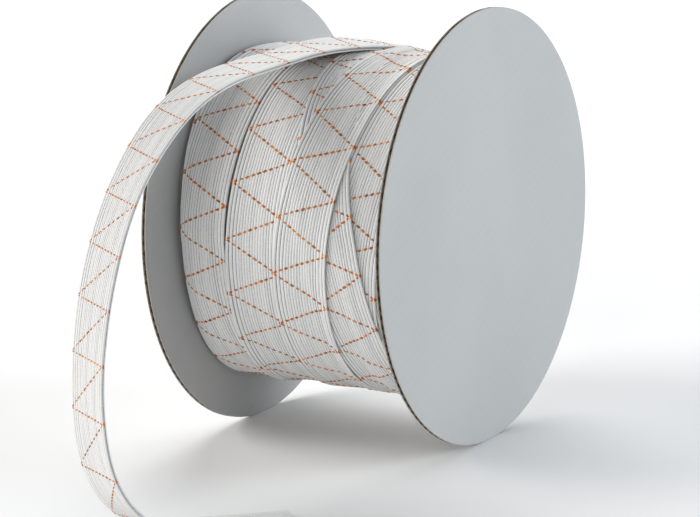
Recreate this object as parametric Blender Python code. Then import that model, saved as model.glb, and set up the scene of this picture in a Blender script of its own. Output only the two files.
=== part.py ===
"""A roll of elastic: a card reel, the woven elastic wound on it, and its loose end.

The reel stands on the rims of its two flanges, with its axis along X. The elastic comes off
the top of the winding, over the front and down to the surface, where its cut end lies flat.
Metres, +Z up. The origin is on the surface, under the centre of the whole thing.
"""
import math
from collections import namedtuple

import bmesh
import bpy
import numpy as np
from mathutils import Vector

# Driving dimensions of the elastic and of the card reel
TAPE_WIDTH = 0.0200
TAPE_THICK = 0.0010
FLANGE_RADIUS = 0.0721
BOARD_THICK = 0.0016
BETWEEN_FLANGES = 0.0852
STANDING_FLAT = 0.0120
LOOSE_REACH = 0.1588
GAP = 0.0003

# The winding under the last turns: its radius on each side, and how it is out of round
LEFT_RADIUS = 0.0558
RIGHT_RADIUS = 0.0550
SIDE_BLEND = (0.000, 0.012)
TOP_DIP = 0.0014
SLUMP_DEPTH = 0.0064
SLUMP_WIDTH = 0.0083
SLUMP_ANGLE = -10.0
SLUMP_SPREAD = 40.0

# What one more turn adds, less than its thickness because the taut elastic beds in
TURN_STEP = 0.00075
EDGE_RAMP = 0.0020

# How fine the surfaces are
FLANGE_SIDES = 96
ROLL_COLUMNS = 43
ROLL_ROWS = 80
LOOSE_STEP = 0.0030
LOOSE_CELLS = 2

# Places that follow from the sizes above
FLAT_SAG = FLANGE_RADIUS - math.sqrt(FLANGE_RADIUS ** 2 - (STANDING_FLAT / 2) ** 2)
AXIS_HEIGHT = FLANGE_RADIUS - FLAT_SAG
AXIS_BACK = (LOOSE_REACH - FLANGE_RADIUS) / 2
ROLL_HALF = BETWEEN_FLANGES / 2 - GAP

# A route is the centre line of the elastic round the reel. up is the angle in degrees from
# the front of the reel, rising over the top and going on round, and side is the place along X.
Route = namedtuple("Route", "up side")
UNDER_TURNS = (
    Route(-360, -0.0323),
    Route(0, -0.0323),
    Route(360, -0.0122),
    Route(720, 0.0081),
    Route(1080, 0.0284),
    Route(1150, 0.0323),
    Route(1440, 0.0323),
)
LAST_TURNS = (
    Route(-966, -0.0048),
    Route(-940, -0.0005),
    Route(-900, 0.0025),
    Route(-810, 0.0045),
    Route(-720, 0.0070),
    Route(-673, 0.0137),
    Route(-642, 0.0175),
    Route(-540, 0.0230),
    Route(-450, 0.0250),
    Route(-360, 0.0185),
    Route(-321, 0.0115),
    Route(-291, 0.0060),
    Route(-255, 0.0030),
    Route(-180, 0.0080),
    Route(-90, 0.0170),
    Route(0, 0.0250),
    Route(40, 0.0315),
    Route(90, 0.0360),
    Route(330, 0.0323),
)

# The loose end, station by station. along is the length from its start on the roll, side,
# ahead and height place its centre line (ahead counts from the reel's axis), and yaw and
# rise in degrees turn the line across it from X towards the front, and up.
Station = namedtuple("Station", "along side ahead height yaw rise")
LOOSE_END = (
    Station(0.000, -0.0048, -0.0245, 0.1240, 9, 2),
    Station(0.016, -0.0076, -0.0095, 0.1283, 10, 1),
    Station(0.032, -0.0103, 0.0063, 0.1291, 10, 0),
    Station(0.050, -0.0133, 0.0241, 0.1290, 10, 1),
    Station(0.070, -0.0167, 0.0438, 0.1285, 10, 2),
    Station(0.090, -0.0199, 0.0633, 0.1266, 10, 4),
    Station(0.110, -0.0227, 0.0822, 0.1206, 11, 8),
    Station(0.128, -0.0242, 0.0974, 0.1111, 14, 12),
    Station(0.146, -0.0248, 0.1108, 0.0992, 17, 16),
    Station(0.164, -0.0242, 0.1225, 0.0857, 19, 18),
    Station(0.182, -0.0226, 0.1327, 0.0708, 21, 19),
    Station(0.200, -0.0201, 0.1413, 0.0553, 24, 21),
    Station(0.218, -0.0165, 0.1485, 0.0392, 27, 22),
    Station(0.230, -0.0133, 0.1518, 0.0282, 29, 22),
    Station(0.242, -0.0088, 0.1531, 0.0172, 34, 21),
    Station(0.254, -0.0023, 0.1505, 0.0076, 41, 17),
    Station(0.266, 0.0060, 0.1440, 0.0021, 47, 8),
    Station(0.278, 0.0148, 0.1360, 0.0005, 48, 0),
    Station(0.290, 0.0237, 0.1280, 0.0005, 48, 0),
    Station(0.308, 0.0370, 0.1160, 0.0005, 48, 0),
)

# Colour, roughness and metallic value
CARD = ("card", (0.72, 0.74, 0.75, 1.0), 0.85, 0.0)
ELASTIC = ("woven_elastic", (0.84, 0.86, 0.88, 1.0), 0.75, 0.0)


def clear_scene():
    for thing in list(bpy.data.objects):
        bpy.data.objects.remove(thing, do_unlink=True)


def material(name, colour, roughness, metallic):
    made = bpy.data.materials.new(name)
    made.use_nodes = True
    shader = made.node_tree.nodes["Principled BSDF"]
    shader.inputs["Base Color"].default_value = colour
    shader.inputs["Roughness"].default_value = roughness
    shader.inputs["Metallic"].default_value = metallic
    return made


def add_object(name, mesh, finish, smooth_angle):
    bm = bmesh.new()
    bm.from_mesh(mesh)
    bmesh.ops.recalc_face_normals(bm, faces=bm.faces)
    bm.to_mesh(mesh)
    bm.free()
    mesh.shade_smooth()
    mesh.set_sharp_from_angle(angle=math.radians(smooth_angle))
    mesh.materials.append(finish)
    thing = bpy.data.objects.new(name, mesh)
    bpy.context.scene.collection.objects.link(thing)
    return thing


def spline(rows, column, at):
    """A smooth curve through one column of a table, over the table's first column."""
    knots = np.array([row[0] for row in rows], float)
    values = np.array([getattr(row, column) for row in rows], float)
    gaps = np.diff(knots)
    slopes = np.diff(values) / gaps
    count = len(knots)
    system = np.eye(count)
    right = np.zeros(count)
    for i in range(1, count - 1):
        system[i, i - 1:i + 2] = gaps[i - 1], 2 * (gaps[i - 1] + gaps[i]), gaps[i]
        right[i] = 6 * (slopes[i] - slopes[i - 1])
    bend = np.linalg.solve(system, right)
    at = np.clip(at, knots[0], knots[-1])
    i = np.clip(np.searchsorted(knots, at) - 1, 0, count - 2)
    before, after = at - knots[i], knots[i + 1] - at
    curve = (bend[i] * after ** 3 + bend[i + 1] * before ** 3) / (6 * gaps[i])
    start = (values[i] / gaps[i] - bend[i] * gaps[i] / 6) * after
    end = (values[i + 1] / gaps[i] - bend[i + 1] * gaps[i] / 6) * before
    return curve + start + end


def ease(value, low, high):
    """0 below low, 1 above high, and a soft step between."""
    part = np.clip((value - low) / (high - low), 0, 1)
    return part * part * (3 - 2 * part)


def winding_radius(side, up):
    """The radius of the winding under the elastic's turns, at a place along X and an angle."""
    top = np.clip(np.sin(np.radians(up)), 0, 1) ** 4
    blend = ease(side, *SIDE_BLEND)
    radius = (LEFT_RADIUS - TOP_DIP * top) * (1 - blend) + RIGHT_RADIUS * blend
    from_slump = (up - SLUMP_ANGLE + 180) % 360 - 180
    near_edge = np.clip((side + ROLL_HALF - SLUMP_WIDTH) / -SLUMP_WIDTH, 0, 1)
    slump = SLUMP_DEPTH * np.exp(-(from_slump / SLUMP_SPREAD) ** 2) * near_edge ** 2
    return radius - slump


def turns_over(route, side, up):
    """How many turns of a route lie over each place, with soft edges."""
    count = np.zeros(np.broadcast(side, up).shape)
    first = math.floor(route[0].up / 360) - 1
    last = math.ceil(route[-1].up / 360) + 1
    for turn in range(first, last):
        angle = up + 360 * turn
        centre = spline(route, "side", angle)
        inside = (angle >= route[0].up) & (angle <= route[-1].up)
        from_edge = TAPE_WIDTH / 2 - np.abs(side - centre)
        cover = ease(from_edge, -EDGE_RAMP / 2, EDGE_RAMP / 2)
        count += np.where(inside, cover, 0)
    return count


def wound_roll(finish):
    """The winding with its overlapping turns, as one solid from end to end."""
    side = np.linspace(-ROLL_HALF, ROLL_HALF, ROLL_COLUMNS)[:, None]
    up = np.linspace(0, 360, ROLL_ROWS, endpoint=False)[None, :]
    turns = turns_over(UNDER_TURNS, side, up) + turns_over(LAST_TURNS, side, up)
    radius = winding_radius(side, up) + TURN_STEP * turns
    y = AXIS_BACK - radius * np.cos(np.radians(up))
    z = AXIS_HEIGHT + radius * np.sin(np.radians(up))
    bm = bmesh.new()
    rings = []
    for column in range(ROLL_COLUMNS):
        places = zip(y[column], z[column])
        rings.append([bm.verts.new((side[column, 0], py, pz)) for py, pz in places])
    for ring, beside in zip(rings, rings[1:]):
        for row in range(ROLL_ROWS):
            after = (row + 1) % ROLL_ROWS
            bm.faces.new((ring[row], ring[after], beside[after], beside[row]))
    bm.faces.new(rings[0])
    bm.faces.new(rings[-1])
    mesh = bpy.data.meshes.new("wound_roll")
    bm.to_mesh(mesh)
    bm.free()
    return add_object("wound_roll", mesh, finish, 40)


def flange(name, inner_face, outward, finish):
    """A round board with a small flat that it stands on."""
    half_flat = math.asin(STANDING_FLAT / 2 / FLANGE_RADIUS)
    bottom = -math.pi / 2
    angles = np.linspace(bottom + half_flat, bottom + 2 * math.pi - half_flat, FLANGE_SIDES)
    bm = bmesh.new()
    rim = []
    for angle in angles:
        y = AXIS_BACK + FLANGE_RADIUS * math.cos(angle)
        z = AXIS_HEIGHT + FLANGE_RADIUS * math.sin(angle)
        rim.append(bm.verts.new((inner_face, y, z)))
    board = bmesh.ops.extrude_face_region(bm, geom=[bm.faces.new(rim)])
    moved = [item for item in board["geom"] if isinstance(item, bmesh.types.BMVert)]
    bmesh.ops.translate(bm, verts=moved, vec=(outward * BOARD_THICK, 0, 0))
    mesh = bpy.data.meshes.new(name)
    bm.to_mesh(mesh)
    bm.free()
    return add_object(name, mesh, finish, 30)


def loose_frames():
    """Centre, line across and outward normal at each step along the loose end."""
    length = LOOSE_END[-1].along
    steps = round(length / LOOSE_STEP)
    along = np.linspace(0, length, steps + 1)
    side = spline(LOOSE_END, "side", along)
    ahead = spline(LOOSE_END, "ahead", along)
    height = spline(LOOSE_END, "height", along)
    yaw = np.radians(spline(LOOSE_END, "yaw", along))
    rise = np.radians(spline(LOOSE_END, "rise", along))
    low_edge = TAPE_WIDTH / 2 * np.abs(np.sin(rise)) + TAPE_THICK / 2
    height = np.maximum(height, low_edge)
    centres = np.stack([side, AXIS_BACK - ahead, height], axis=1)
    onward = np.gradient(centres, axis=0)
    onward /= np.linalg.norm(onward, axis=1)[:, None]
    flat = np.cos(rise)
    across = np.stack([flat * np.cos(yaw), -flat * np.sin(yaw), np.sin(rise)], axis=1)
    across -= onward * np.sum(onward * across, axis=1)[:, None]
    across /= np.linalg.norm(across, axis=1)[:, None]
    return centres, across, np.cross(onward, across)


def loose_end(finish):
    """The elastic that has come off the roll: a sheet that hangs in an arch to the surface."""
    centres, across, outward = loose_frames()
    places = np.linspace(-TAPE_WIDTH / 2, TAPE_WIDTH / 2, LOOSE_CELLS + 1)
    loop = [(place, TAPE_THICK / 2) for place in places]
    loop += [(place, -TAPE_THICK / 2) for place in places[::-1]]
    bm = bmesh.new()
    sections = []
    for centre, sideways, out in zip(centres, across, outward):
        corners = [centre + sideways * place + out * level for place, level in loop]
        sections.append([bm.verts.new(Vector(corner)) for corner in corners])
    for section, after in zip(sections, sections[1:]):
        for i in range(len(loop)):
            j = (i + 1) % len(loop)
            bm.faces.new((section[i], section[j], after[j], after[i]))
    bm.faces.new(sections[0])
    bm.faces.new(sections[-1])
    mesh = bpy.data.meshes.new("loose_end")
    bm.to_mesh(mesh)
    bm.free()
    return add_object("loose_end", mesh, finish, 40)


def main():
    clear_scene()
    card = material(*CARD)
    elastic = material(*ELASTIC)
    flange("flange_left", -BETWEEN_FLANGES / 2, -1, card)
    flange("flange_right", BETWEEN_FLANGES / 2, 1, card)
    wound_roll(elastic)
    loose_end(elastic)


main()
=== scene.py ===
"""Looks of a roll of elastic: the woven tape turn by turn, its zigzag, and the fluted card reel.

Metres, in the frame's own axes. The reel's axis lies along X, and the loose end towards -Y.
"""
import math
from collections import namedtuple

import bpy
import numpy as np
from mathutils import Matrix, Vector


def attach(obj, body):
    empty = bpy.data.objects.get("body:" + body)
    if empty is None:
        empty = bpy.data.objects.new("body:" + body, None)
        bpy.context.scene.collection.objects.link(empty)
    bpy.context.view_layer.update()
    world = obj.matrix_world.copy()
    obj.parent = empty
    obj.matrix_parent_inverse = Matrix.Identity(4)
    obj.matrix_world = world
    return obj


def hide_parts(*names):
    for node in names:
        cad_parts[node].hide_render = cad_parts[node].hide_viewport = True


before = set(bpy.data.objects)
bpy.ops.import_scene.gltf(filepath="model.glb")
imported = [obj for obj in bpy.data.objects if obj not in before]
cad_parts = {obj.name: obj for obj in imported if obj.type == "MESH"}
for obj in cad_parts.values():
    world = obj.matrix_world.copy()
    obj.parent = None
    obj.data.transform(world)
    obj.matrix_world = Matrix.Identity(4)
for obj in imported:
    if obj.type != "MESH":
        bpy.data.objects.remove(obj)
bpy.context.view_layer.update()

# The reel, with the sizes of its solids, how far the loose end reaches to the front of its axis,
# and how far the tape stays off the flanges
FLANGE_RADIUS = 0.0721
BOARD_THICK = 0.0016
BETWEEN_FLANGES = 0.0852
STANDING_FLAT = 0.0120
LOOSE_REACH = 0.1588
GAP = 0.0003
FLAT_SAG = FLANGE_RADIUS - math.sqrt(FLANGE_RADIUS ** 2 - (STANDING_FLAT / 2) ** 2)
AXIS_HEIGHT = FLANGE_RADIUS - FLAT_SAG
AXIS_BACK = (LOOSE_REACH - FLANGE_RADIUS) / 2
ROLL_HALF = BETWEEN_FLANGES / 2 - GAP

# The fluted board: two linings, and between them a paper waved into flutes, which ends just off
# the floor. A lining's rim is softened, and a narrow band beside it keeps its shading from
# spreading over the face.
LINING = 0.00035
PAPER = 0.00020
FLUTE_PITCH = 0.0033
FLUTE_CELLS = 10
FLUTE_SLOPE = math.radians(20)
FLUTES_OFF_FLOOR = 0.00005
DISC_SIDES = 240
CORE_RADIUS = FLANGE_RADIUS * 0.5
RIM_SOFTNESS = 0.00008
RIM_BAND = RIM_SOFTNESS * 5

# The tape, its ribs, and the picks across them over a length as long as the tape is wide. Its
# edges are rounded, and they lift a little off what they lie on.
TAPE_WIDTH = 0.0200
TAPE_THICK = 0.0010
BEDDED_THICK = 0.00075
INNER_RIBS = 12
EDGE_RIBS = 3
EDGE_RIB = 0.0013
RIBS = INNER_RIBS + 2 * EDGE_RIBS
RIB_CELLS = 4
RIB_HEIGHT = 0.00020
RIB_FULLNESS = 0.7
SELVEDGE_RISE = 0.00012
PICKS = 26
EDGE_ROUND = 0.0009
EDGE_FALL = 0.43
EDGE_LIFT = 0.0004
LIFTED_WIDTH = 0.0030

# The underside of a wound turn is hidden, so it has few columns of points. Faces that meet at
# more than the sharp angle meet in an edge.
UNDERSIDE_COLUMNS = 5
SHARP_ANGLE = math.radians(50)

# The zigzag's stitches: how many a leg has, their sizes, how near the edges and the ends of the
# tape they come, and how uneven they are
STITCHES = 10
STITCH_LENGTH = 0.00165
STITCH_WIDTH = 0.00086
LOOSE_STITCH_WIDTH = 0.00056
STITCH_DEPTH = 0.00042
STITCH_MARGIN = 0.0001
END_MARGIN = 0.0005
STITCH_UNEVEN = (0.86, 1.10)
STITCH_SEED = 4

# Corners of the zigzag: whole numbers are on the tape's right edge and halves on its left. On
# the turns beneath they are even, and one is at an angle of the second turn. After those each
# number has its place along the tape, from where the loose end starts, because the tape is
# slacker from turn to turn.
UNDER_PITCH = 0.01865
UNDER_CORNER_UP = 12.0
UNDER_CORNERS = 100.0
Zigzag = namedtuple("Zigzag", "numbers places")
Corner = namedtuple("Corner", "number place")
CORNERS = (
    Corner(-75.0, -1.3607),
    Corner(-55.5, -0.9987),
    Corner(-35.5, -0.6276),
    Corner(-17.0, -0.2844),
    Corner(0.0, 0.0288),
    Corner(18.0, 0.3506),
)

# The winding under all the turns that are laid: its radius on each side, and how it is out of
# round. The dips are at its top, left and right, and narrower the higher their power. It slumps
# at the left flange. The turns inside it are one form, a little lower.
LEFT_RADIUS = 0.0558
RIGHT_RADIUS = 0.0550
SIDE_BLEND = (0.000, 0.012)
TOP_DIPS = (0.0026, 0.0013)
DIP_POWER = 12
SLUMP_DEPTH = 0.0064
SLUMP_WIDTH = 0.0083
SLUMP_ANGLE = -10.0
SLUMP_SPREAD = 40.0
BURIED = 0.0012
INNER_RINGS = 61

# How the tape is laid: rows a turn, how softly it takes the steps of what lies under it, how far
# it may press into that, how an edge that is too near the flange turns up, until it stands
# upright, and the rows over which it leaves the roll. The loose end lands just off the floor.
ROWS = 120
BED_CELL = 0.0002
ACROSS_SOFTNESS = 0.0012
CREASE_SOFTNESS = 0.0004
ALONG_SOFTNESS = 0.55
PRESSED_IN = 0.0003
TURNED_UP = 0.0020
UPRIGHT_EXCESS = 0.57 * TURNED_UP
BEND_STEPS = 90
LIFTING_ROWS = 12
LOOSE_STEP = 0.0020
CLEAR_OF_FLOOR = 0.00045

# A route is the centre line of the tape round the reel. up is the angle in degrees from the
# front of the reel, rising over the top and going on round, and side is the place along X.
Route = namedtuple("Route", "up side")
UNDER_TURNS = (
    Route(-360, -0.0319),
    Route(-40, -0.0320),
    Route(0, -0.0319),
    Route(40, -0.0297),
    Route(90, -0.0269),
    Route(360, -0.0116),
    Route(720, 0.0088),
    Route(1080, 0.0289),
    Route(1150, 0.0323),
    Route(1440, 0.0323),
)
LAST_TURNS = (
    Route(-966, -0.0048),
    Route(-940, -0.0005),
    Route(-900, 0.0025),
    Route(-810, 0.0045),
    Route(-720, 0.0067),
    Route(-673, 0.0132),
    Route(-642, 0.0163),
    Route(-540, 0.0226),
    Route(-450, 0.0250),
    Route(-360, 0.0177),
    Route(-341, 0.0136),
    Route(-321, 0.0101),
    Route(-291, 0.0058),
    Route(-255, 0.0030),
    Route(-180, 0.0080),
    Route(-90, 0.0170),
    Route(0, 0.0250),
    Route(40, 0.0315),
    Route(90, 0.0360),
    Route(330, 0.0323),
)

# The loose end, station by station. along is the length from its start on the roll, side,
# ahead and height place its centre line (ahead counts from the reel's axis), and yaw and
# rise in degrees turn the line across it from X towards the front, and up.
Station = namedtuple("Station", "along side ahead height yaw rise")
LOOSE_END = (
    Station(0.000, -0.0048, -0.0245, 0.1251, 10, -1),
    Station(0.016, -0.0076, -0.0095, 0.1278, 11, -3),
    Station(0.032, -0.0103, 0.0063, 0.1293, 11, -1),
    Station(0.050, -0.0133, 0.0241, 0.1294, 10, 3),
    Station(0.070, -0.0167, 0.0438, 0.1285, 10, 2),
    Station(0.090, -0.0199, 0.0633, 0.1266, 10, 4),
    Station(0.110, -0.0227, 0.0822, 0.1206, 11, 8),
    Station(0.128, -0.0242, 0.0974, 0.1111, 14, 12),
    Station(0.146, -0.0248, 0.1108, 0.0992, 17, 16),
    Station(0.164, -0.0242, 0.1225, 0.0857, 19, 18),
    Station(0.182, -0.0226, 0.1327, 0.0708, 21, 19),
    Station(0.200, -0.0201, 0.1413, 0.0553, 24, 21),
    Station(0.218, -0.0165, 0.1485, 0.0392, 27, 22),
    Station(0.230, -0.0133, 0.1518, 0.0282, 29, 22),
    Station(0.242, -0.0088, 0.1531, 0.0172, 34, 21),
    Station(0.254, -0.0023, 0.1505, 0.0076, 41, 17),
    Station(0.266, 0.0060, 0.1440, 0.0021, 47, 8),
    Station(0.278, 0.0148, 0.1360, 0.0005, 48, 0),
    Station(0.290, 0.0237, 0.1280, 0.0005, 48, 0),
    Station(0.308, 0.0370, 0.1160, 0.0005, 48, 0),
)
LOOSE_LENGTH = LOOSE_END[-1].along

# The camera, at the photograph's angle: degrees round the reel, down, and tilted
CAMERA_PLACE = Vector((0.72225, -1.23025, 0.38422))
CAMERA_TURN = math.radians(29.82)
CAMERA_DROP = math.radians(12.59)
CAMERA_TILT = math.radians(-1.20)
CAMERA_LENS = 231.43
SENSOR_WIDTH = 36.0
CAMERA_REACH = (0.05, 50.0)

# The studio: a wide floor just under the reel, soft lamps aimed at the reel, and a pale sky
FLOOR_REACH = 6.0
FLOOR_LEVEL = -0.0001
LAMP_AIM = Vector((0.0, 0.0, 0.07))
Lamp = namedtuple("Lamp", "name place size power colour")
LAMPS = (
    Lamp("key lamp", (-1.42, -0.62, 0.82), 1.0, 24.0, (1.0, 0.98, 0.95)),
    Lamp("front lamp", (0.20, -1.50, 0.80), 0.8, 4.5, (1.0, 1.0, 1.0)),
    Lamp("side lamp", (1.40, 0.75, 0.50), 0.9, 17.5, (0.90, 0.96, 1.0)),
    Lamp("rear lamp", (-0.45, 1.20, 1.15), 1.2, 20.0, (1.0, 1.0, 1.0)),
)
SKY_COLOUR = (0.90, 0.95, 1.0, 1.0)
SKY_STRENGTH = 0.15


# Node trees written as expressions

class Value:
    """A socket on which Python's arithmetic adds Math nodes."""

    def __init__(self, board, socket):
        self.board = board
        self.socket = socket

    def math(self, operation, *others):
        """A Math node on this value and any others."""
        sockets = dict(enumerate((self, *others)))
        return self.board.add("ShaderNodeMath", {"operation": operation}, sockets)

    def __add__(self, other):
        return self.math("ADD", other)

    def __sub__(self, other):
        return self.math("SUBTRACT", other)

    def __mul__(self, other):
        return self.math("MULTIPLY", other)

    def __truediv__(self, other):
        return self.math("DIVIDE", other)

    def __pow__(self, other):
        return self.math("POWER", other)

    def __rsub__(self, other):
        return self * -1.0 + other

    __radd__ = __add__
    __rmul__ = __mul__

    def sine(self):
        return self.math("SINE")

    def size(self):
        return self.math("ABSOLUTE")

    def floor(self):
        return self.math("FLOOR")

    def step(self, low, high):
        """0 below low, 1 above high, and a soft step between."""
        settings = {"interpolation_type": "SMOOTHSTEP"}
        return self.board.add("ShaderNodeMapRange", settings, {0: self, 1: low, 2: high})

    def part(self, index):
        """X, Y or Z of a vector."""
        return self.board.add("ShaderNodeSeparateXYZ", None, {0: self}, index)


class Board:
    """A node tree being filled. A socket is picked by name, or by its place among those shown."""

    def __init__(self, tree):
        self.tree = tree
        tree.nodes.clear()

    @staticmethod
    def pick(sockets, key):
        shown = [socket for socket in sockets if socket.enabled]
        if isinstance(key, int):
            return shown[key]
        return next(socket for socket in shown if socket.name == key)

    def add(self, kind, settings=None, sockets=None, out=0):
        """Adds a node with its settings, and gives each named socket a value or a link."""
        node = self.tree.nodes.new(kind)
        for name, value in (settings or {}).items():
            setattr(node, name, value)
        for key, value in (sockets or {}).items():
            socket = self.pick(node.inputs, key)
            if isinstance(value, Value):
                self.tree.links.new(value.socket, socket)
            else:
                socket.default_value = value
        if not node.outputs:
            return None
        return Value(self, self.pick(node.outputs, out))

    def mix(self, factor, first, second):
        """A colour between two others."""
        return self.add("ShaderNodeMix", {"data_type": "RGBA"}, {0: factor, 1: first, 2: second})

    def noise(self, place, scale, detail=2.0):
        return self.add("ShaderNodeTexNoise", None, {0: place, "Scale": scale, "Detail": detail})

    def place(self):
        return self.add("ShaderNodeTexCoord", None, None, "Object")

    def stretch(self, place, scale, turn=(0.0, 0.0, 0.0)):
        return self.add("ShaderNodeMapping", None, {0: place, "Rotation": turn, "Scale": scale})

    def bump(self, height, strength, distance):
        sockets = {"Height": height, "Strength": strength, "Distance": distance}
        return self.add("ShaderNodeBump", None, sockets)


def new_material(name, build):
    """A material. build fills its board and gives the values of the shader's sockets."""
    made = bpy.data.materials.new(name)
    made.use_nodes = True
    board = Board(made.node_tree)
    shader = board.add("ShaderNodeBsdfPrincipled", None, build(board))
    board.add("ShaderNodeOutputMaterial", None, {"Surface": shader})
    return made


# Finishes

def woven_elastic(board):
    """White elastic: ribs along it with painted shade in their valleys, fine picks across, and a
    little soil.
    """
    uv = board.add("ShaderNodeUVMap", {"uv_map": "tape"})
    rib = uv.part(0) * RIBS
    crest = (rib * math.pi).sine().size()
    # The valleys between the ribs are darkened towards a cool grey: painted shade.
    valley_shade = 1.0 - crest.step(0.0, 0.65)
    odd = rib.floor() * math.pi
    picks = (uv.part(1) * (2 * math.pi * PICKS) + odd).sine()
    streak = board.noise(board.stretch(uv, (22.0, 0.30, 1.0)), 1.9)
    from_edge = 0.5 - (uv.part(0) - 0.5).size()
    selvedge = 1.0 - from_edge.step((EDGE_RIBS - 0.5) / RIBS, (EDGE_RIBS + 0.5) / RIBS)
    own = board.add(
        "ShaderNodeTexWhiteNoise",
        {"noise_dimensions": "1D"},
        {0: rib.floor() + 0.37},
    )
    soil = board.noise(uv, 1.1)
    fibre = board.noise(uv, 110.0, 3.0)
    grain = board.noise(board.stretch(uv, (RIBS * 1.4, 34.0, 1.0)), 1.0, 1.0)
    # The valley term is painted shade, a little stronger or weaker rib by rib; the streaks are
    # the cloth's own tone.
    shade = valley_shade * (own * 0.40 + 0.42) + (streak - 0.5) * 0.65
    # On the edge ribs the crests get a painted highlight and the valleys more painted shade; the
    # rib-by-rib tone is the cloth's own.
    shade = shade + own * 0.18 + selvedge * (valley_shade * 0.15 - 0.14)
    shade = shade + (grain - 0.5) * 0.55
    white = (0.88, 0.87, 0.85, 1.0)
    # The grey is the dark end of the mix: it paints the shade in the valleys, and the cloth's own
    # changes of tone.
    grey = (0.27, 0.30, 0.35, 1.0)
    soiled = (0.80, 0.76, 0.71, 1.0)
    cloth = board.mix(shade.step(0.0, 1.0), white, grey)
    cloth = board.mix(soil.step(0.55, 0.80) * 0.30, cloth, soiled)
    relief = picks * 0.10 + fibre * 0.60
    return {
        "Base Color": cloth,
        "Roughness": 0.80,
        "Normal": board.bump(relief, 0.35, 0.0002),
        "Sheen Weight": 0.25,
        "Sheen Roughness": 0.5,
        "Specular IOR Level": 0.25,
    }


def marker_thread(board):
    """Orange-brown thread, darker here and there."""
    tone = board.noise(board.place(), 900.0)
    deep = (0.33, 0.085, 0.010, 1.0)
    bright = (0.81, 0.285, 0.042, 1.0)
    return {
        "Base Color": board.mix(tone.step(0.35, 0.65), deep, bright),
        "Roughness": 0.6,
        "Specular IOR Level": 0.3,
    }


def lined_card(board):
    """The white lined face of the board, with the flutes faintly showing through."""
    place = board.place()
    flute_turn = (-FLUTE_SLOPE, 0.0, 0.0)
    across_flutes = board.stretch(place, (1.0, 1.0, 1.0), flute_turn).part(2)
    flutes = (across_flutes * (2 * math.pi / FLUTE_PITCH)).sine()
    cloud = board.noise(place, 14.0, 4.0)
    grain = board.noise(place, 2200.0, 3.0)
    shade = cloud.step(0.30, 0.75) * 0.45 + (flutes + 1.0) * 0.04 + grain * 0.12
    light = (0.53, 0.535, 0.535, 1.0)
    dark = (0.44, 0.45, 0.455, 1.0)
    return {
        "Base Color": board.mix(shade, light, dark),
        "Roughness": cloud * 0.15 + 0.6,
        "Normal": board.bump(flutes * 0.5 + grain * 0.25, 0.12, 0.0003),
        "Specular IOR Level": 0.35,
    }


def brown_paper(board):
    """The recycled paper that shows at the board's cut edge and in its flutes."""
    fleck = board.noise(board.place(), 1500.0, 4.0)
    dark = (0.060, 0.047, 0.034, 1.0)
    light = (0.19, 0.155, 0.115, 1.0)
    return {
        "Base Color": board.mix(fleck.step(0.3, 0.7), dark, light),
        "Roughness": 0.95,
        "Specular IOR Level": 0.1,
    }


def lining_edge(board):
    """The cut edge of a lining: pale paper, a little brown from its pulp."""
    fleck = board.noise(board.place(), 1800.0, 3.0)
    pale = (0.66, 0.60, 0.52, 1.0)
    brown = (0.42, 0.36, 0.29, 1.0)
    return {
        "Base Color": board.mix(fleck, pale, brown),
        "Roughness": 0.9,
        "Specular IOR Level": 0.1,
    }


def pale_floor(board):
    """The studio's floor, nearly white."""
    cloud = board.noise(board.place(), 3.0)
    return {
        "Base Color": board.mix(cloud, (0.86, 0.86, 0.86, 1.0), (0.89, 0.89, 0.89, 1.0)),
        "Roughness": 0.9,
        "Specular IOR Level": 0.1,
    }


# Curves

def spline(rows, column, at):
    """A smooth curve through one column of a table, over the table's first column."""
    knots = np.array([row[0] for row in rows], float)
    values = np.array([getattr(row, column) for row in rows], float)
    gaps = np.diff(knots)
    slopes = np.diff(values) / gaps
    count = len(knots)
    system = np.eye(count)
    right = np.zeros(count)
    for i in range(1, count - 1):
        system[i, i - 1:i + 2] = gaps[i - 1], 2 * (gaps[i - 1] + gaps[i]), gaps[i]
        right[i] = 6 * (slopes[i] - slopes[i - 1])
    bend = np.linalg.solve(system, right)
    at = np.clip(at, knots[0], knots[-1])
    i = np.clip(np.searchsorted(knots, at) - 1, 0, count - 2)
    before, after = at - knots[i], knots[i + 1] - at
    curve = (bend[i] * after ** 3 + bend[i + 1] * before ** 3) / (6 * gaps[i])
    start = (values[i] / gaps[i] - bend[i] * gaps[i] / 6) * after
    end = (values[i + 1] / gaps[i] - bend[i + 1] * gaps[i] / 6) * before
    return curve + start + end


def ease(value, low, high):
    """0 below low, 1 above high, and a soft step between."""
    part = np.clip((value - low) / (high - low), 0, 1)
    return part * part * (3 - 2 * part)


def unit(vectors):
    """Vectors of length 1, the same way."""
    return vectors / np.linalg.norm(vectors, axis=-1, keepdims=True)


def soften(values, cell, softness):
    """Blurs a row of values, which go on past both ends as they end."""
    reach = math.ceil(3 * softness / cell)
    places = np.arange(-reach, reach + 1) * cell
    weights = np.exp(-(places / softness) ** 2 / 2)
    padded = np.pad(values, reach, mode="reflect", reflect_type="odd")
    return np.convolve(padded, weights / weights.sum(), mode="valid")


def winding_radius(side, up):
    """The radius of the winding under the tape's turns, at a place along X and an angle."""
    top = np.clip(np.sin(np.radians(up)), 0, 1) ** DIP_POWER
    blend = ease(side, *SIDE_BLEND)
    left = LEFT_RADIUS - TOP_DIPS[0] * top
    right = RIGHT_RADIUS - TOP_DIPS[1] * top
    radius = left * (1 - blend) + right * blend
    from_slump = (up - SLUMP_ANGLE + 180) % 360 - 180
    near_edge = np.clip((side + ROLL_HALF - SLUMP_WIDTH) / -SLUMP_WIDTH, 0, 1)
    slump = SLUMP_DEPTH * np.exp(-(from_slump / SLUMP_SPREAD) ** 2) * near_edge ** 2
    return radius - slump


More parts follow.
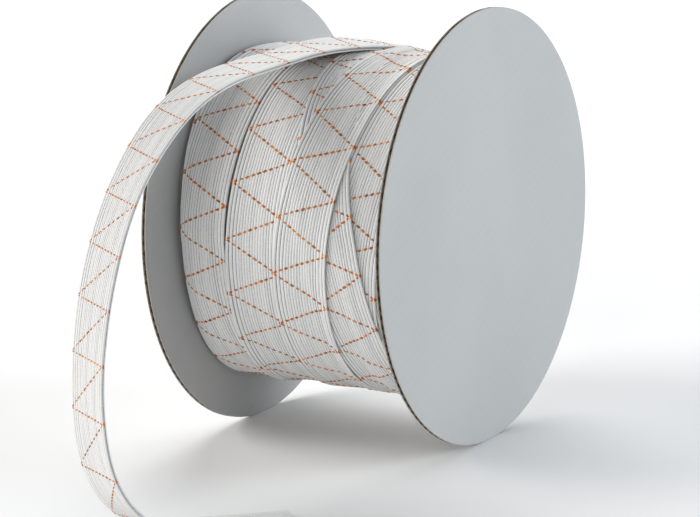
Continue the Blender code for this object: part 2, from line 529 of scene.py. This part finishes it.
def on_reel(side, up, radius):
    """The place in the frame of a point of the winding."""
    turn = np.radians(up)
    y = AXIS_BACK - radius * np.cos(turn)
    z = AXIS_HEIGHT + radius * np.sin(turn)
    return np.stack(np.broadcast_arrays(side, y, z), axis=-1)


# The tape as grids of points

COLUMNS = RIBS * RIB_CELLS + 1
RIB_NUMBER = np.arange(COLUMNS) / RIB_CELLS
INNER_HALF = TAPE_WIDTH / 2 - EDGE_RIBS * EDGE_RIB
ACROSS = np.interp(
    RIB_NUMBER,
    (0, EDGE_RIBS, RIBS - EDGE_RIBS, RIBS),
    (-TAPE_WIDTH / 2, -INNER_HALF, INNER_HALF, TAPE_WIDTH / 2),
)
ACROSS_CELL = TAPE_WIDTH / (COLUMNS - 1)
NEAR_EDGE = np.clip(1 - (TAPE_WIDTH / 2 - np.abs(ACROSS)) / EDGE_ROUND, 0, 1)
ROUNDED = EDGE_FALL * (1 - np.sqrt(1 - NEAR_EDGE ** 2))
IN_LIFTED = np.clip(1 - (TAPE_WIDTH / 2 - np.abs(ACROSS)) / LIFTED_WIDTH, 0, 1)
LIFTED = EDGE_LIFT * IN_LIFTED ** 2

# A place between points stays just before the last of them, so that there is always a next one
BEFORE_LAST = 1.001


class Tape:
    """A length of tape: its outer surface row by row, and the length at each of its points."""

    def __init__(self, points, along, thick):
        self.points = points
        self.along = along
        self.thick = thick
        self.onward = unit(np.gradient(points, axis=0))
        self.sideways = unit(np.gradient(points, axis=1))
        self.normal = unit(np.cross(self.onward, self.sideways))

    def part(self, start, stop):
        """Some of the rows, with the directions that they have in the whole tape."""
        made = object.__new__(Tape)
        for name, grid in vars(self).items():
            setattr(made, name, grid[start:stop])
        return made

    def cells_at(self, along, across):
        """Rows and columns, with their fractions, at lengths and places across."""
        column = np.interp(across, ACROSS, np.arange(COLUMNS))
        middle = self.along[:, COLUMNS // 2]
        slant = (self.along[:, -1] - self.along[:, 0]) / TAPE_WIDTH
        rows = np.arange(len(middle))
        slants = np.interp(along, middle, slant)
        row = np.interp(along - slants * across, middle, rows)
        row = np.clip(row, 0, len(middle) - BEFORE_LAST)
        return row, np.clip(column, 0, COLUMNS - BEFORE_LAST)

    @staticmethod
    def read(grid, row, column):
        """A grid's value between its points."""
        i, j = row.astype(int), column.astype(int)
        a, b = (row - i)[:, None], (column - j)[:, None]
        near = grid[i, j] * (1 - b) + grid[i, j + 1] * b
        far = grid[i + 1, j] * (1 - b) + grid[i + 1, j + 1] * b
        return near * (1 - a) + far * a


class Bed:
    """The height of all that is wound so far, over places along X and angles."""

    def __init__(self):
        count = round(2 * ROLL_HALF / BED_CELL) + 1
        self.side = np.linspace(-ROLL_HALF, ROLL_HALF, count)
        angles = np.arange(ROWS)[:, None] * (360 / ROWS)
        self.radius = winding_radius(self.side[None, :], angles)

    def under(self, row, side):
        """The height that a taut tape takes over this row of the bed."""
        heights = np.interp(side, self.side, self.radius[row % ROWS])
        soft = soften(heights, ACROSS_CELL, ACROSS_SOFTNESS)
        return soften(np.maximum(soft, heights), ACROSS_CELL, CREASE_SOFTNESS)

    def cover(self, row, side, top):
        """Raises a row of the bed to the top of a tape that was laid on it."""
        inside = (self.side >= side[0]) & (self.side <= side[-1])
        self.radius[row % ROWS, inside] = np.interp(self.side[inside], side, top)

    def uncovered(self, points):
        """Which of some points lie above all that is wound there."""
        y = AXIS_BACK - points[:, 1]
        z = points[:, 2] - AXIS_HEIGHT
        up = np.degrees(np.arctan2(z, y))
        row = np.round(up / 360 * ROWS).astype(int) % ROWS
        column = np.round((points[:, 0] + ROLL_HALF) / BED_CELL).astype(int)
        height = self.radius[row, np.clip(column, 0, len(self.side) - 1)]
        return np.hypot(y, z) > height


def turn_up(side, top):
    """Turns the edge of a tape that is too near the right flange up along it."""
    excess = side[-1] - ROLL_HALF
    if excess <= 0:
        return side, top
    excess += BEDDED_THICK * min(excess / UPRIGHT_EXCESS, 1)
    bends = np.linspace(0, math.pi / 2, BEND_STEPS + 1)
    bend = np.interp(excess / TURNED_UP, bends - np.sin(bends), bends)
    start = side[-1] - excess - TURNED_UP * math.sin(bend)
    if bend < math.pi / 2:
        start = side[-1] - TURNED_UP * bend
    beyond = np.maximum(side - start, 0)
    angle = np.minimum(beyond / TURNED_UP, bend)
    straight = beyond - TURNED_UP * angle
    turned = start + TURNED_UP * np.sin(angle) + straight * math.cos(bend)
    rise = TURNED_UP * (1 - np.cos(angle)) + straight * math.sin(bend)
    return np.where(beyond > 0, turned, side), top + rise


def lay_turns(bed, route, upward):
    """Winds a route of tape on the bed, turn over turn, and gives its outer surface.

    The rows always run down the angles, so that the outer surface is the one that is seen.
    """
    step = 360 / ROWS
    rows = np.arange(math.ceil(route[0].up / step), math.floor(route[-1].up / step) + 1)
    centres = spline(route, "side", rows * step)
    drift = np.gradient(centres, np.radians(rows * step)) / LEFT_RADIUS
    widen = np.sqrt(1 + drift ** 2)
    made = {}
    before = None
    for i in range(len(rows)) if upward else range(len(rows) - 1, -1, -1):
        side = centres[i] + ACROSS * widen[i]
        held = np.clip(side, -ROLL_HALF, ROLL_HALF)
        lower = bed.under(rows[i], held)
        if before is not None:
            eased = lower + (before - lower) * ALONG_SOFTNESS
            lower = np.maximum(eased, lower - PRESSED_IN)
        before = lower
        top = lower + BEDDED_THICK
        arc = np.concatenate([[0.0], np.cumsum(np.hypot(np.diff(side), np.diff(top)))])
        arc -= arc[COLUMNS // 2]
        narrowed = np.interp(ACROSS * widen[i], arc, side)
        top = np.interp(narrowed, side, top)
        side = narrowed
        bed.cover(rows[i], np.clip(side, -ROLL_HALF, ROLL_HALF), top)
        side, top = turn_up(side, top + LIFTED - ROUNDED * BEDDED_THICK)
        made[i] = on_reel(side, rows[i] * step, top)
    points = np.array([made[i] for i in range(len(rows) - 1, -1, -1)])
    middle = points[:, COLUMNS // 2]
    steps = np.linalg.norm(np.diff(middle, axis=0), axis=1)
    along = np.concatenate([[0.0], np.cumsum(steps)])
    slant = (-drift[::-1, None]) * ACROSS[None, :]
    return points, along[:, None] + slant, rows[::-1] * step


def loose_points():
    """The outer surface of the loose end, and its length at each row."""
    steps = round(LOOSE_LENGTH / LOOSE_STEP)
    along = np.linspace(0, LOOSE_LENGTH, steps + 1)
    side = spline(LOOSE_END, "side", along)
    ahead = spline(LOOSE_END, "ahead", along)
    height = spline(LOOSE_END, "height", along)
    yaw = np.radians(spline(LOOSE_END, "yaw", along))
    rise = np.radians(spline(LOOSE_END, "rise", along))
    low_edge = TAPE_WIDTH / 2 * np.abs(np.sin(rise)) + TAPE_THICK / 2 + CLEAR_OF_FLOOR
    height = np.maximum(height, low_edge)
    centres = np.stack([side, AXIS_BACK - ahead, height], axis=1)
    onward = unit(np.gradient(centres, axis=0))
    flat = np.cos(rise)
    across = np.stack([flat * np.cos(yaw), -flat * np.sin(yaw), np.sin(rise)], axis=1)
    across = unit(across - onward * np.sum(onward * across, axis=1)[:, None])
    outward = np.cross(onward, across)
    level = TAPE_THICK * (0.5 - ROUNDED)
    places = centres[:, None] + across[:, None] * ACROSS[None, :, None]
    return places + outward[:, None] * level[None, :, None], along


def join_loose_end(points, along):
    """The last turns and the loose end as one tape, and the row where one becomes the other."""
    free, free_along = loose_points()
    lift = ease(np.arange(len(points)), len(points) - LIFTING_ROWS, len(points) - 1)[:, None]
    middle = along[:, COLUMNS // 2][:, None]
    joined = points + (free[0] - points[-1])[None] * lift[:, :, None]
    lengths = middle + (along - middle) * (1 - lift)
    free_lengths = np.broadcast_to(free_along[:, None] + middle[-1], free.shape[:2])
    seam = len(points) - 1
    thick = np.full(len(points) + len(free) - 1, TAPE_THICK)
    thick[:seam + 1] = BEDDED_THICK + (TAPE_THICK - BEDDED_THICK) * lift[:, 0]
    whole = Tape(
        np.concatenate([joined, free[1:]]),
        np.concatenate([lengths, free_lengths[1:]]),
        thick,
    )
    return whole, seam


# Meshes

def new_object(name, mesh, *finishes):
    """An object in the scene, with its finishes in order."""
    made = bpy.data.objects.new(name, mesh)
    bpy.context.scene.collection.objects.link(made)
    for finish in finishes:
        mesh.materials.append(finish)
    return made


def set_attribute(mesh, name, values):
    """Stores a number or a vector at each point of a mesh."""
    values = np.asarray(values, np.float32)
    size = values.size // len(mesh.vertices)
    kind, key = ("FLOAT_VECTOR", "vector") if size == 3 else ("FLOAT", "value")
    layer = mesh.attributes.new(name, kind, "POINT")
    layer.data.foreach_set(key, values.reshape(-1))


def ring_faces(rows, ring):
    """Faces between closed rings of points, and over both ends."""
    faces = []
    for row in range(rows - 1):
        here, there = row * ring, (row + 1) * ring
        for i in range(ring):
            j = (i + 1) % ring
            faces.append((here + i, here + j, there + j, there + i))
    faces.append(tuple(range(ring - 1, -1, -1)))
    faces.append(tuple(range((rows - 1) * ring, rows * ring)))
    return faces


def tape_mesh(name, tape, lower_columns):
    """A closed mesh of the tape, with what its ribs and its weave follow."""
    below = np.linspace(COLUMNS - 1, 0, lower_columns).round().astype(int)
    depth = tape.thick[:, None] * (1 - 2 * ROUNDED[None, below])
    lower = tape.points[:, below] - tape.normal[:, below] * depth[:, :, None]
    lower[:, :, 2] = np.maximum(lower[:, :, 2], 0.0)
    points = np.concatenate([tape.points, lower], axis=1)
    outward = np.concatenate([tape.normal, -tape.normal[:, below]], axis=1)
    ribs = np.concatenate([RIB_NUMBER, RIB_NUMBER[below]])
    along = np.concatenate([tape.along, tape.along[:, below]], axis=1)
    rows, ring = points.shape[:2]
    mesh = bpy.data.meshes.new(name)
    mesh.from_pydata(points.reshape(-1, 3), [], ring_faces(rows, ring))
    set_attribute(mesh, "outward", outward)
    set_attribute(mesh, "rib", np.broadcast_to(ribs, (rows, ring)))
    set_tape_uv(mesh, np.broadcast_to(ribs, (rows, ring)), along)
    return mesh


def set_tape_uv(mesh, ribs, along):
    """The UV map of the weave: all ribs together are one wide, and the length goes on."""
    loops = np.zeros(len(mesh.loops), np.int32)
    mesh.loops.foreach_get("vertex_index", loops)
    u = np.asarray(ribs).reshape(-1)[loops] / RIBS
    v = np.asarray(along).reshape(-1)[loops] / TAPE_WIDTH
    uv = np.stack([u, v], axis=1).astype(np.float32)
    mesh.uv_layers.new(name="tape").data.foreach_set("uv", uv.reshape(-1))


def node_tool(name, inputs, build):
    """A Geometry Nodes tree with named inputs, which ends in plain geometry with a finish."""
    tree = bpy.data.node_groups.new(name, "GeometryNodeTree")
    board = Board(tree)
    face = tree.interface
    face.new_socket("Geometry", in_out="INPUT", socket_type="NodeSocketGeometry")
    face.new_socket("Geometry", in_out="OUTPUT", socket_type="NodeSocketGeometry")
    for label in inputs:
        face.new_socket(label, in_out="INPUT", socket_type="NodeSocketFloat")
    face.new_socket("Seed", in_out="INPUT", socket_type="NodeSocketInt")
    face.new_socket("Finish", in_out="INPUT", socket_type="NodeSocketMaterial")
    entry = tree.nodes.new("NodeGroupInput")
    given = {socket.name: Value(board, socket) for socket in entry.outputs if socket.name}
    made = build(board, given)
    made = board.add("GeometryNodeRealizeInstances", None, {0: made})
    sockets = {"Geometry": made, "Material": given["Finish"]}
    made = board.add("GeometryNodeSetMaterial", None, sockets)
    board.add("NodeGroupOutput", None, {0: made})
    return tree


def use_tool(tree, mesh, values):
    """Runs a tree on a mesh and keeps the result as a plain mesh, in an object of that name."""
    name = mesh.name
    holder = new_object(name, mesh)
    modifier = holder.modifiers.new(tree.name, "NODES")
    modifier.node_group = tree
    for item in tree.interface.items_tree:
        if item.in_out == "INPUT" and item.name in values:
            modifier[item.identifier] = values[item.name]
    graph = bpy.context.evaluated_depsgraph_get()
    grown = bpy.data.meshes.new_from_object(holder.evaluated_get(graph))
    holder.modifiers.clear()
    holder.data = grown
    bpy.data.meshes.remove(mesh)
    grown.name = name
    return holder


def stored(board, name, kind):
    """A number or a vector that the mesh holds at each point."""
    return board.add("GeometryNodeInputNamedAttribute", {"data_type": kind}, {"Name": name})


def rib_nodes(board, given):
    """Lifts the ribs and the selvedges out of the tape's faces."""
    rib = stored(board, "rib", "FLOAT")
    outward = stored(board, "outward", "FLOAT_VECTOR")
    crest = (rib * math.pi).sine().size() ** RIB_FULLNESS
    from_edge = RIBS / 2 - (rib - RIBS / 2).size()
    selvedge = 1.0 - from_edge.step(given["Edge ribs"] - 0.5, given["Edge ribs"] + 0.5)
    height = crest * given["Rib height"] + selvedge * crest * given["Selvedge rise"]
    offset = board.add(
        "ShaderNodeVectorMath",
        {"operation": "SCALE"},
        {0: outward, "Scale": height},
    )
    return board.add("GeometryNodeSetPosition", None, {0: given["Geometry"], "Offset": offset})


def stitch_nodes(board, given):
    """Lays a rounded stitch on each point, along its way and flat on the tape."""
    ball = board.add("GeometryNodeMeshUVSphere", None, {"Segments": 8, "Rings": 4, "Radius": 0.5})
    lie = board.add(
        "FunctionNodeAlignRotationToVector",
        {"axis": "X"},
        {"Vector": stored(board, "way", "FLOAT_VECTOR")},
    )
    lie = board.add(
        "FunctionNodeAlignRotationToVector",
        {"axis": "Z", "pivot_axis": "X"},
        {"Rotation": lie, "Vector": stored(board, "outward", "FLOAT_VECTOR")},
    )
    sizes = board.add(
        "ShaderNodeCombineXYZ",
        None,
        {0: given["Stitch length"], 1: given["Stitch width"], 2: given["Stitch depth"]},
    )
    uneven = board.add(
        "FunctionNodeRandomValue",
        {"data_type": "FLOAT"},
        {"Min": STITCH_UNEVEN[0], "Max": STITCH_UNEVEN[1], "Seed": given["Seed"]},
    )
    sizes = board.add(
        "ShaderNodeVectorMath",
        {"operation": "SCALE"},
        {0: sizes, "Scale": uneven},
    )
    sockets = {"Points": given["Geometry"], "Instance": ball, "Rotation": lie, "Scale": sizes}
    return board.add("GeometryNodeInstanceOnPoints", None, sockets)


def flute_nodes(board, given):
    """Waves a flat paper into flutes."""
    crosswise = stored(board, "crosswise", "FLOAT")
    wave = (crosswise * (2 * math.pi) / given["Flute pitch"]).sine() * given["Flute depth"]
    offset = board.add("ShaderNodeCombineXYZ", None, {0: wave})
    return board.add("GeometryNodeSetPosition", None, {0: given["Geometry"], "Offset": offset})


# The elastic

def flat_stitches(zigzag):
    """Where each stitch is along and across the tape, and how far its leg goes each way.

    A leg has a stitch along the edge at its start, and then its own stitches. The first leg
    runs from the right edge to the left one, and the next one back.
    """
    numbers, places = zigzag
    reach = TAPE_WIDTH / 2 - STITCH_MARGIN
    legs = np.arange(round((numbers[-1] - numbers[0]) * 2))
    shares = np.concatenate([[0], (np.arange(STITCHES) + 0.5) / STITCHES])
    leg, share = (x.reshape(-1) for x in np.meshgrid(legs, shares, indexing="ij"))
    along = np.interp(numbers[0] + (leg + share) / 2, numbers, places)
    leftward = np.where(leg % 2 == 0, 1, -1)
    across = reach * leftward * (1 - 2 * share)
    travel = np.interp(numbers[0] + (leg + 1) / 2, numbers, places)
    travel -= np.interp(numbers[0] + leg / 2, numbers, places)
    swing = np.where(share == 0, 0, -2 * reach * leftward)
    return along, across, travel, swing


def stitch_mesh(name, tape, zigzag, bed):
    """The stitches on a tape as points without faces, each with its way over the tape.

    On a bed, those that later turns cover are left out.
    """
    along, across, travel, swing = flat_stitches(zigzag)
    middle = tape.along[:, COLUMNS // 2]
    kept = (along > middle[0] + END_MARGIN) & (along < middle[-1] - END_MARGIN)
    along, across, travel, swing = (x[kept] for x in (along, across, travel, swing))
    row, column = tape.cells_at(along, across)
    normal = unit(tape.read(tape.normal, row, column))
    points = tape.read(tape.points, row, column) + normal * RIB_HEIGHT
    onward = tape.read(tape.onward, row, column)
    sideways = tape.read(tape.sideways, row, column)
    way = unit(onward * travel[:, None] + sideways * swing[:, None])
    if bed is not None:
        seen = bed.uncovered(points)
        points, way, normal = points[seen], way[seen], normal[seen]
    mesh = bpy.data.meshes.new(name)
    mesh.from_pydata(points, [], [])
    set_attribute(mesh, "way", way)
    set_attribute(mesh, "outward", normal)
    return mesh


def wind_under_turns(bed):
    """The turns beneath, laid side by side, and their zigzag."""
    points, along, angles = lay_turns(bed, UNDER_TURNS, upward=True)
    rows = np.arange(len(angles))
    corner_row = np.interp(-UNDER_CORNER_UP, -angles, rows)
    corner = np.interp(corner_row, rows, along[:, -1])
    numbers = np.arange(-UNDER_CORNERS, UNDER_CORNERS)
    under = Tape(points, along, np.full(len(points), BEDDED_THICK))
    return under, Zigzag(numbers, corner + numbers * UNDER_PITCH)


def wind_last_turns(bed):
    """The last turns, the loose end, and the zigzag that goes over both."""
    points, along, _ = lay_turns(bed, LAST_TURNS, upward=False)
    whole, seam = join_loose_end(points, along)
    numbers = np.array([corner.number for corner in CORNERS])
    places = np.array([corner.place for corner in CORNERS]) + whole.along[seam, 0]
    last = whole.part(0, seam + 1)
    loose = whole.part(seam, len(whole.points))
    return last, loose, Zigzag(numbers, places)


def make_tape(name, tape, lower_columns):
    """A piece of ribbed tape. lower_columns is how finely its underside is divided."""
    ribs = bpy.data.node_groups["Ribs of the tape"]
    sizes = {
        "Rib height": RIB_HEIGHT,
        "Edge ribs": float(EDGE_RIBS),
        "Selvedge rise": SELVEDGE_RISE,
        "Finish": bpy.data.materials["woven elastic"],
    }
    return use_tool(ribs, tape_mesh(name, tape, lower_columns), sizes)


def make_zigzag(name, tape, zigzag, width, bed=None):
    """The stitches of a zigzag on a tape. On a bed, those that are covered are left out."""
    stitching = bpy.data.node_groups["Stitches of the zigzag"]
    sizes = {
        "Stitch length": STITCH_LENGTH,
        "Stitch width": width,
        "Stitch depth": STITCH_DEPTH,
        "Seed": STITCH_SEED,
        "Finish": bpy.data.materials["marker thread"],
    }
    return use_tool(stitching, stitch_mesh(name, tape, zigzag, bed), sizes)


def make_elastic():
    """The turns of the roll and the loose end, each with its zigzag."""
    new_material("woven elastic", woven_elastic)
    new_material("marker thread", marker_thread)
    node_tool(
        "Ribs of the tape",
        ("Rib height", "Edge ribs", "Selvedge rise"),
        rib_nodes,
    )
    node_tool(
        "Stitches of the zigzag",
        ("Stitch length", "Stitch width", "Stitch depth"),
        stitch_nodes,
    )

    bed = Bed()
    under, even_zigzag = wind_under_turns(bed)
    last, loose, slack_zigzag = wind_last_turns(bed)

    under_turns = make_tape("under_turns", under, UNDERSIDE_COLUMNS)
    last_turns = make_tape("last_turns", last, UNDERSIDE_COLUMNS)
    loose_tape = make_tape("loose_tape", loose, COLUMNS)
    under_zigzag = make_zigzag("under_zigzag", under, even_zigzag, STITCH_WIDTH, bed)
    last_zigzag = make_zigzag("last_zigzag", last, slack_zigzag, STITCH_WIDTH, bed)
    loose_zigzag = make_zigzag("loose_zigzag", loose, slack_zigzag, LOOSE_STITCH_WIDTH)

    inner_turns = make_inner_turns()
    for piece in (under_turns, last_turns, inner_turns, under_zigzag, last_zigzag):
        finish_piece(piece, "wound_roll")
    for piece in (loose_tape, loose_zigzag):
        finish_piece(piece, "loose_end")


def finish_piece(piece, node):
    """Shades a piece smooth, puts it under the root body, and hides the part of the model that it
    stands for.
    """
    piece.data.shade_smooth()
    piece.data.set_sharp_from_angle(angle=SHARP_ANGLE)
    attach(piece, "root")
    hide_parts(node)


def make_inner_turns():
    """The turns that are buried, as one closed form under the ones laid one by one."""
    up = np.arange(ROWS) * 360 / ROWS
    side = np.linspace(-ROLL_HALF, ROLL_HALF, INNER_RINGS)
    radius = winding_radius(side[:, None], up[None, :]) - BURIED
    points = on_reel(side[:, None], up[None, :], radius)
    mesh = bpy.data.meshes.new("inner_turns")
    mesh.from_pydata(points.reshape(-1, 3), [], ring_faces(len(side), ROWS))
    arc = np.radians(up[None, :]) * LEFT_RADIUS
    shape = points.shape[:2]
    ribs = side[:, None] / TAPE_WIDTH * RIBS
    set_tape_uv(mesh, np.broadcast_to(ribs, shape), np.broadcast_to(arc, shape))
    return new_object("inner_turns", mesh, bpy.data.materials["woven elastic"])


# The reel

def lining_mesh(name, low, high):
    """A round lining that stands on its flat, and which of its faces are its cut edge."""
    near_rim = FLANGE_RADIUS - RIM_SOFTNESS
    inside_rim = FLANGE_RADIUS - RIM_BAND
    profile = (
        (low, CORE_RADIUS),
        (low, inside_rim),
        (low, near_rim),
        (low + RIM_SOFTNESS, FLANGE_RADIUS),
        (high - RIM_SOFTNESS, FLANGE_RADIUS),
        (high, near_rim),
        (high, inside_rim),
        (high, CORE_RADIUS),
    )
    turn = np.radians(np.arange(DISC_SIDES) * 360 / DISC_SIDES)
    rings = []
    for x, radius in profile:
        y = AXIS_BACK + radius * np.cos(turn)
        z = np.maximum(AXIS_HEIGHT + radius * np.sin(turn), 0.0)
        rings.append(np.stack(np.broadcast_arrays(x, y, z), axis=-1))
    mesh = bpy.data.meshes.new(name)
    points = np.concatenate(rings)
    mesh.from_pydata(points, [], ring_faces(len(profile), DISC_SIDES))
    edge = np.zeros(len(mesh.polygons), np.int32)
    # The third, fourth and fifth strips of faces go round the rim
    edge[2 * DISC_SIDES:5 * DISC_SIDES] = 1
    return mesh, edge


def fluting_mesh(name, middle):
    """The flat paper between the linings, cut to the disc, as long strips along the flutes."""
    radius = FLANGE_RADIUS - RIM_SOFTNESS
    lines = round(2 * radius / FLUTE_PITCH * FLUTE_CELLS)
    crosswise = np.linspace(-radius, radius, lines + 1)[1:-1]
    chord = np.sqrt(radius ** 2 - crosswise ** 2)
    along_y, along_z = math.cos(FLUTE_SLOPE), math.sin(FLUTE_SLOPE)
    base_z = AXIS_HEIGHT + crosswise * along_y
    lowest = np.clip((FLUTES_OFF_FLOOR - base_z) / along_z, -chord, chord)
    ends = np.stack([lowest, chord], axis=1)
    y = AXIS_BACK - crosswise[:, None] * along_z + ends * along_y
    z = base_z[:, None] + ends * along_z
    front = np.stack([np.full_like(y, middle - PAPER / 2), y, z], axis=-1)
    back = np.stack([np.full_like(y, middle + PAPER / 2), y, z], axis=-1)
    points = np.concatenate([front, back[:, ::-1]], axis=1)
    mesh = bpy.data.meshes.new(name)
    mesh.from_pydata(points.reshape(-1, 3), [], ring_faces(len(crosswise), 4))
    set_attribute(mesh, "crosswise", np.repeat(crosswise, 4))
    return mesh


def make_flange(node, inner, outward):
    """A round flange of fluted board: two linings with the flutes between them."""
    card = bpy.data.materials["lined card"]
    cut = bpy.data.materials["lining edge"]
    paper = bpy.data.materials["brown paper"]
    outer = inner + outward * BOARD_THICK
    for label, start, end in (
        ("inner_lining", inner, inner + outward * LINING),
        ("outer_lining", outer - outward * LINING, outer),
    ):
        mesh, edge = lining_mesh(f"{node}_{label}", min(start, end), max(start, end))
        piece = new_object(mesh.name, mesh, card, cut)
        mesh.polygons.foreach_set("material_index", edge)
        finish_piece(piece, node)
    flutes = bpy.data.node_groups["Flutes of the board"]
    mesh = fluting_mesh(f"{node}_flutes", (inner + outer) / 2)
    depth = BOARD_THICK / 2 - LINING - PAPER / 2
    sizes = {"Flute pitch": FLUTE_PITCH, "Flute depth": depth, "Finish": paper}
    finish_piece(use_tool(flutes, mesh, sizes), node)


def make_reel():
    """Both flanges, of the same board."""
    new_material("lined card", lined_card)
    new_material("lining edge", lining_edge)
    new_material("brown paper", brown_paper)
    node_tool("Flutes of the board", ("Flute pitch", "Flute depth"), flute_nodes)
    make_flange("flange_left", -BETWEEN_FLANGES / 2, -1)
    make_flange("flange_right", BETWEEN_FLANGES / 2, 1)


# The studio

def make_floor():
    """The floor, which isn't part of the roll."""
    sides = ((-1, -1), (1, -1), (1, 1), (-1, 1))
    corners = [(x * FLOOR_REACH, y * FLOOR_REACH, FLOOR_LEVEL) for x, y in sides]
    mesh = bpy.data.meshes.new("floor")
    mesh.from_pydata(corners, [], [(0, 1, 2, 3)])
    new_object("floor", mesh, new_material("pale floor", pale_floor))


def make_camera():
    """The camera, at the photograph's angle."""
    level = math.cos(CAMERA_DROP)
    ahead = Vector((
        -math.sin(CAMERA_TURN) * level,
        math.cos(CAMERA_TURN) * level,
        -math.sin(CAMERA_DROP),
    ))
    right = ahead.cross(Vector((0, 0, 1))).normalized()
    top = right.cross(ahead)
    tilted_right = right * math.cos(CAMERA_TILT) + top * math.sin(CAMERA_TILT)
    tilted_top = top * math.cos(CAMERA_TILT) - right * math.sin(CAMERA_TILT)
    axes = Matrix((tilted_right, tilted_top, -ahead)).transposed()
    data = bpy.data.cameras.new("camera")
    data.lens = CAMERA_LENS
    data.sensor_width = SENSOR_WIDTH
    data.clip_start, data.clip_end = CAMERA_REACH
    camera = bpy.data.objects.new("camera", data)
    camera.matrix_world = Matrix.Translation(CAMERA_PLACE) @ axes.to_4x4()
    bpy.context.scene.collection.objects.link(camera)
    bpy.context.scene.camera = camera


def add_lamp(row):
    """A square lamp from its row of the table, aimed at the reel."""
    data = bpy.data.lights.new(row.name, "AREA")
    data.shape = "SQUARE"
    data.size = row.size
    data.energy = row.power
    data.color = row.colour
    lamp = bpy.data.objects.new(row.name, data)
    lamp.location = row.place
    towards = LAMP_AIM - Vector(row.place)
    lamp.rotation_euler = towards.to_track_quat("-Z", "Y").to_euler()
    bpy.context.scene.collection.objects.link(lamp)


def make_light():
    """The lamps and the sky."""
    for row in LAMPS:
        add_lamp(row)
    bpy.context.scene.view_settings.view_transform = "Standard"
    world = bpy.data.worlds.new("studio")
    world.use_nodes = True
    board = Board(world.node_tree)
    sockets = {"Color": SKY_COLOUR, "Strength": SKY_STRENGTH}
    sky = board.add("ShaderNodeBackground", None, sockets)
    board.add("ShaderNodeOutputWorld", None, {"Surface": sky})
    bpy.context.scene.world = world


make_camera()
make_light()
make_floor()
make_elastic()
make_reel()
